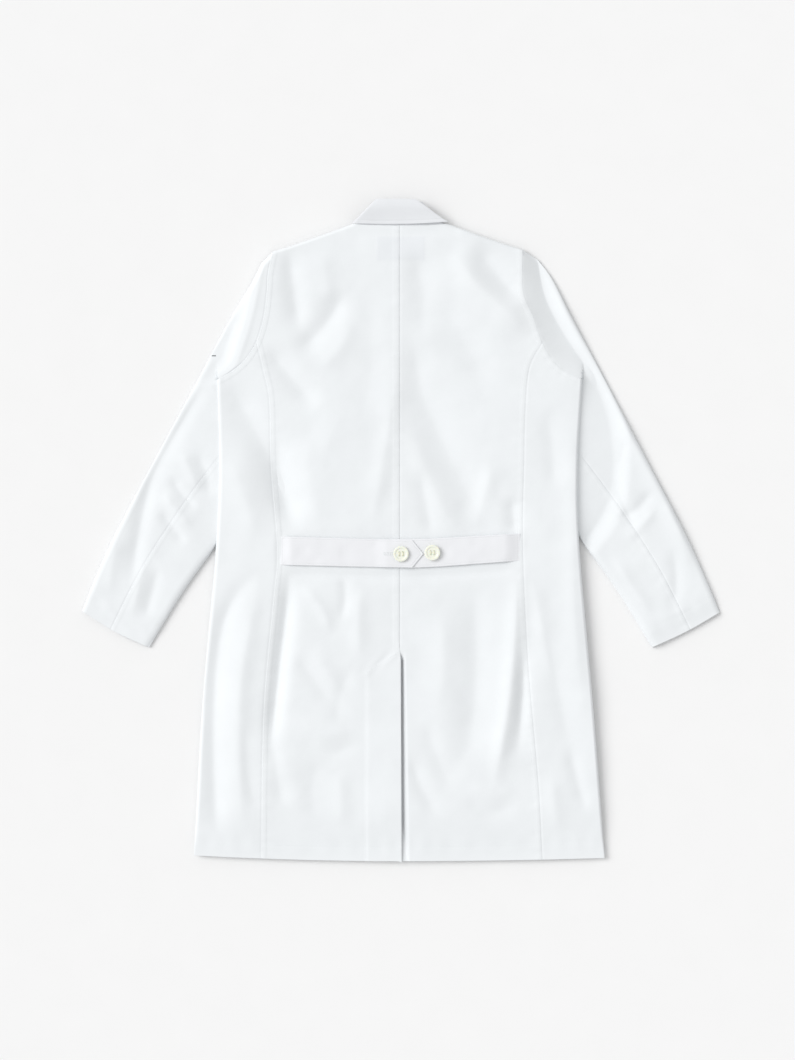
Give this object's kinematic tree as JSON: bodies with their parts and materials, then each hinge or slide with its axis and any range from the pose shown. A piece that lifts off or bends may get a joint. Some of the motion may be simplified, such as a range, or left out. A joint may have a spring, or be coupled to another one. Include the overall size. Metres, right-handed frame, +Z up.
{
  "type": "lab coat",
  "caption": "Long-sleeved lab coat laid flat with its back up: turned-down collar, side-back seams, buttoned half belt and a centre-back vent.",
  "frame": {"origin": "middle of the footprint, at the level of the surface that the coat lies on", "axes": "+Z up from the coat's front to its back, +Y from the hem to the collar, +X to the wearer's right as the coat lies face down"},
  "size_m": [0.9954, 1.032, 0.0287],
  "materials": {
    "cotton_cloth": "bleached white cotton and polyester twill, pressed, matt",
    "collar_cloth": "the same twill over interfacing, slightly greyer",
    "woven_tape": "plain woven satin tape, blank",
    "button_resin": "ivory polyester resin, polished",
    "sewing_thread": "spun polyester thread, off-white",
    "dark_thread": "embroidery thread, charcoal"
  },
  "bodies": {
    "coat_body": {"back_panel_left": "cotton_cloth", "back_panel_right": "cotton_cloth", "side_panel_left": "cotton_cloth", "side_panel_right": "cotton_cloth", "vent_underlap": "cotton_cloth", "front_panel_left": "cotton_cloth", "front_panel_right": "cotton_cloth", "front_facing_left": "cotton_cloth", "front_facing_right": "cotton_cloth", "lapel_left": "cotton_cloth", "lapel_right": "cotton_cloth", "collar_end_left": "collar_cloth", "collar_end_right": "collar_cloth", "collar_stand": "collar_cloth", "hip_pocket_left": "cotton_cloth", "hip_pocket_right": "cotton_cloth", "chest_pocket": "cotton_cloth", "neck_label": "woven_tape", "hanging_loop": "woven_tape"},
    "collar": {"collar_leaf": "collar_cloth"},
    "vent": {"vent_flap": "cotton_cloth"},
    "skirt_corner": {"front_corner": "cotton_cloth"},
    "sleeve_left": {"top_sleeve_left": "cotton_cloth", "under_sleeve_left": "cotton_cloth", "sleeve_bar_tack": "dark_thread"},
    "sleeve_right": {"top_sleeve_right": "cotton_cloth", "under_sleeve_right": "cotton_cloth"},
    "belt_left": {"half_belt_left": "cotton_cloth"},
    "belt_right": {"half_belt_right": "cotton_cloth"},
    "belt_button_1": {"belt_button_1": "button_resin", "belt_button_1_thread": "sewing_thread"},
    "belt_button_2": {"belt_button_2": "button_resin", "belt_button_2_thread": "sewing_thread"},
    "front_button_1": {"front_button_1": "button_resin", "front_button_1_thread": "sewing_thread"},
    "front_button_2": {"front_button_2": "button_resin", "front_button_2_thread": "sewing_thread"},
    "front_button_3": {"front_button_3": "button_resin", "front_button_3_thread": "sewing_thread"},
    "front_button_4": {"front_button_4": "button_resin", "front_button_4_thread": "sewing_thread"}
  },
  "joints": [
    {"name": "belt_left_lift", "type": "hinge", "parent": "coat_body", "child": "belt_left", "pos_m": [-0.186, -0.0325, 0.0219], "axis": [0, -1, 0], "range_deg": [0, 150]},
    {"name": "belt_right_lift", "type": "hinge", "parent": "coat_body", "child": "belt_right", "pos_m": [0.186, -0.027, 0.0219], "axis": [0, 1, 0], "range_deg": [0, 60]},
    {"name": "collar_turn", "type": "hinge", "parent": "coat_body", "child": "collar", "pos_m": [0, 0.516, 0.0215], "axis": [-1, 0, 0], "range_deg": [0, 120]},
    {"name": "vent_lift", "type": "hinge", "parent": "coat_body", "child": "vent", "pos_m": [-0.0015, -0.19, 0.0198], "axis": [-0.1546, -0.988, 0], "range_deg": [0, 120]},
    {"name": "skirt_corner_fold", "type": "hinge", "parent": "coat_body", "child": "skirt_corner", "pos_m": [0.021, -0.215, 0.006], "axis": [0.4092, 0.9124, 0], "range_deg": [0, 80]},
    {"name": "sleeve_left_swing", "type": "hinge", "parent": "coat_body", "child": "sleeve_left", "pos_m": [-0.188, 0.438, 0.0075], "axis": [0, 0, -1], "range_deg": [0, 35]},
    {"name": "sleeve_right_swing", "type": "hinge", "parent": "coat_body", "child": "sleeve_right", "pos_m": [0.188, 0.438, 0.0075], "axis": [0, 0, 1], "range_deg": [0, 35]},
    {"name": "belt_button_1_turn", "type": "hinge", "parent": "belt_right", "child": "belt_button_1", "pos_m": [0.0008, -0.037, 0.0264], "axis": [0, 0, 1], "range_deg": [-30, 30]},
    {"name": "belt_button_2_turn", "type": "hinge", "parent": "belt_right", "child": "belt_button_2", "pos_m": [0.0495, -0.0352, 0.0264], "axis": [0, 0, 1], "range_deg": [-30, 30]},
    {"name": "front_button_1_turn", "type": "hinge", "parent": "coat_body", "child": "front_button_1", "pos_m": [0, 0.175, 0.0032], "axis": [0, 0, 1], "range_deg": [-30, 30]},
    {"name": "front_button_2_turn", "type": "hinge", "parent": "coat_body", "child": "front_button_2", "pos_m": [0, 0.055, 0.0032], "axis": [0, 0, 1], "range_deg": [-30, 30]},
    {"name": "front_button_3_turn", "type": "hinge", "parent": "coat_body", "child": "front_button_3", "pos_m": [0, -0.065, 0.0032], "axis": [0, 0, 1], "range_deg": [-30, 30]},
    {"name": "front_button_4_turn", "type": "hinge", "parent": "coat_body", "child": "front_button_4", "pos_m": [0, -0.185, 0.0032], "axis": [0, 0, 1], "range_deg": [-30, 30]}
  ],
  "couplings": [
    {"joint": "belt_right_lift", "follows": "belt_left_lift", "ratio": 0.4}
  ]
}
